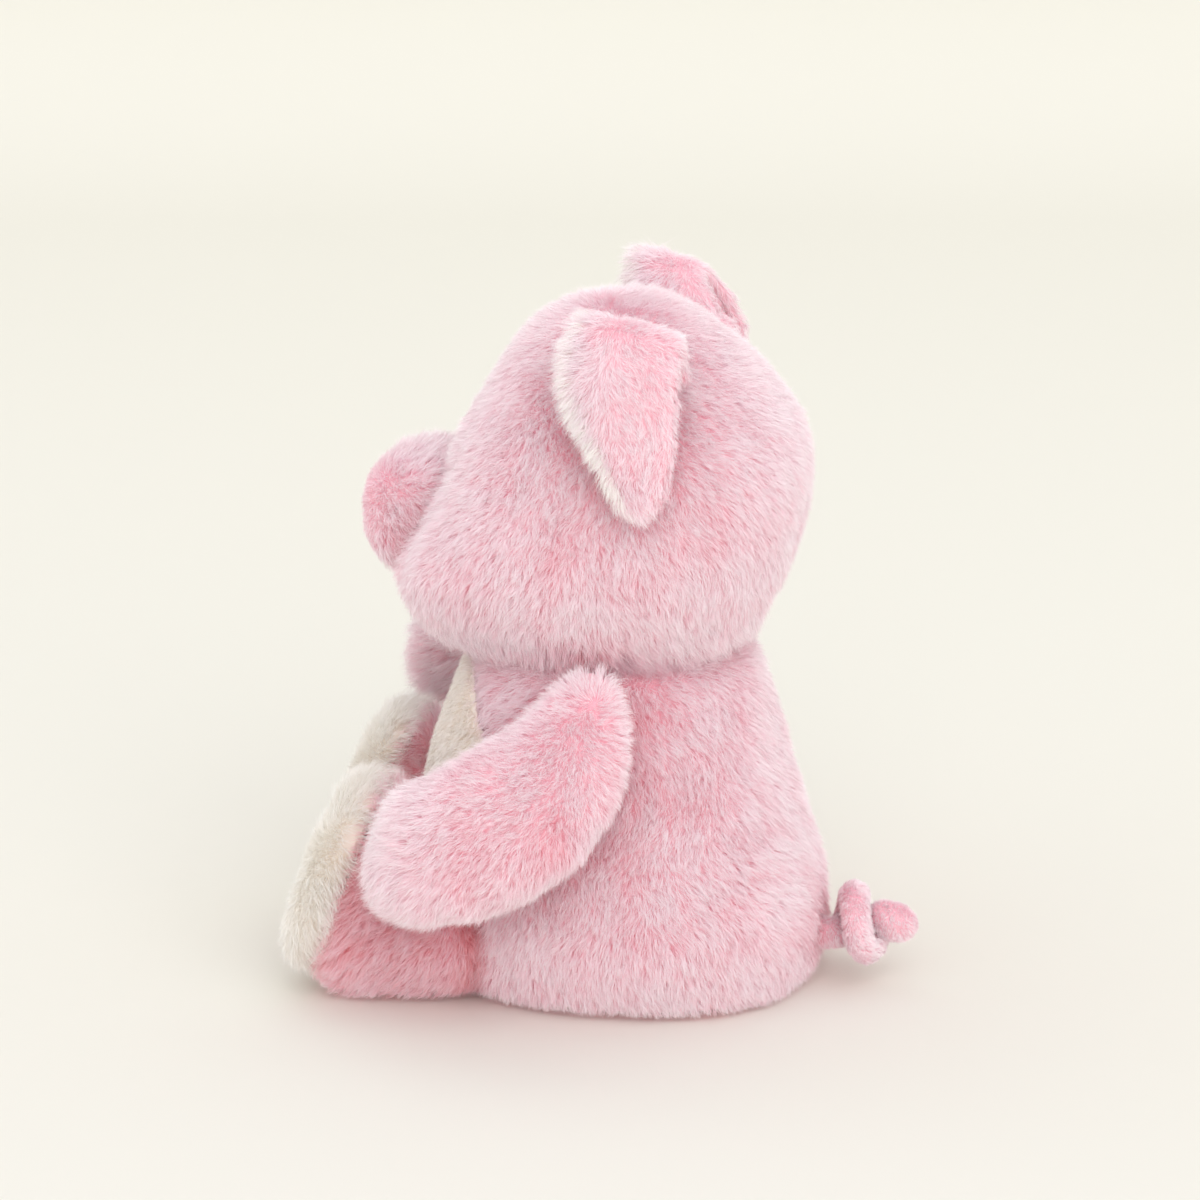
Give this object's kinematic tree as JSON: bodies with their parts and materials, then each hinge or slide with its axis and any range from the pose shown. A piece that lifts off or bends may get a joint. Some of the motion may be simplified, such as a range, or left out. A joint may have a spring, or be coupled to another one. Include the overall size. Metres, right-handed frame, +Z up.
{
  "type": "plush pig",
  "caption": "Seated plush pig with a full fur head, round snout, folded ears, bent arms, fur-soled feet and a curled tail.",
  "frame": {"origin": "on the floor, under the middle of the torso's base", "axes": "+Z up, the pig faces -Y, and its left side is towards +X"},
  "size_m": [0.2093, 0.2324, 0.2559],
  "materials": {
    "pink_fur": "long soft pile",
    "pink_pile": "short smooth pile",
    "cream_fur": "medium soft pile",
    "cream_pile": "short pile",
    "base_cloth": "short pile",
    "pouch_cloth": "plain weave",
    "black_eye": "gloss",
    "washer_plastic": "satin",
    "nostril_thread": "satin stitch"
  },
  "bodies": {
    "root": {"body": "pink_fur", "belly_panel": "cream_pile", "seat_panel": "base_cloth", "pellet_bag": "pouch_cloth"},
    "head": {"head": "pink_fur", "snout": "pink_fur", "nostril_left": "nostril_thread", "nostril_right": "nostril_thread", "eye_left": "black_eye", "eye_right": "black_eye", "eye_washer_left": "washer_plastic", "eye_washer_right": "washer_plastic"},
    "ear_left": {"ear_left": "pink_fur", "ear_lining_left": "pink_pile"},
    "ear_right": {"ear_right": "pink_fur", "ear_lining_right": "pink_pile"},
    "arm_left": {"arm_left": "pink_fur"},
    "arm_right": {"arm_right": "pink_fur"},
    "leg_left": {"leg_left": "pink_fur", "sole_left": "cream_fur"},
    "leg_right": {"leg_right": "pink_fur", "sole_right": "cream_fur"},
    "tail": {"tail": "pink_pile"}
  },
  "joints": [
    {"name": "head_turn", "type": "hinge", "parent": "root", "child": "head", "pos_m": [0, -0.00436, 0.124], "axis": [0, 0, 1], "range_deg": [-15, 15], "stiffness_Nm_per_rad": 0.6},
    {"name": "ear_left_flap", "type": "hinge", "parent": "head", "child": "ear_left", "pos_m": [0.04216, 0.01223, 0.23328], "axis": [0, -0.9848, 0.1736], "range_deg": [0, 40]},
    {"name": "ear_right_flap", "type": "hinge", "parent": "head", "child": "ear_right", "pos_m": [-0.04216, 0.01223, 0.23328], "axis": [0, 0.9848, -0.1736], "range_deg": [0, 40]},
    {"name": "arm_left_swing", "type": "hinge", "parent": "root", "child": "arm_left", "pos_m": [0.05523, -0.001, 0.1145], "axis": [-0.9397, 0, -0.342], "range_deg": [-10, 25], "stiffness_Nm_per_rad": 0.15},
    {"name": "arm_right_swing", "type": "hinge", "parent": "root", "child": "arm_right", "pos_m": [-0.05262, -0.001, 0.1145], "axis": [-0.9397, 0, 0.342], "range_deg": [-30, 4], "stiffness_Nm_per_rad": 0.15},
    {"name": "leg_left_lift", "type": "hinge", "parent": "root", "child": "leg_left", "pos_m": [0.044, -0.05997, 0.027], "axis": [-0.9945, -0.1045, 0], "range_deg": [-3, 9], "stiffness_Nm_per_rad": 0.15},
    {"name": "leg_right_lift", "type": "hinge", "parent": "root", "child": "leg_right", "pos_m": [-0.044, -0.05997, 0.027], "axis": [-0.9998, -0.0175, 0], "range_deg": [-3, 9], "stiffness_Nm_per_rad": 0.15},
    {"name": "tail_wag", "type": "hinge", "parent": "root", "child": "tail", "pos_m": [0, 0.07223, 0.0175], "axis": [0, 0, 1], "range_deg": [-12, 12], "stiffness_Nm_per_rad": 0.02}
  ]
}
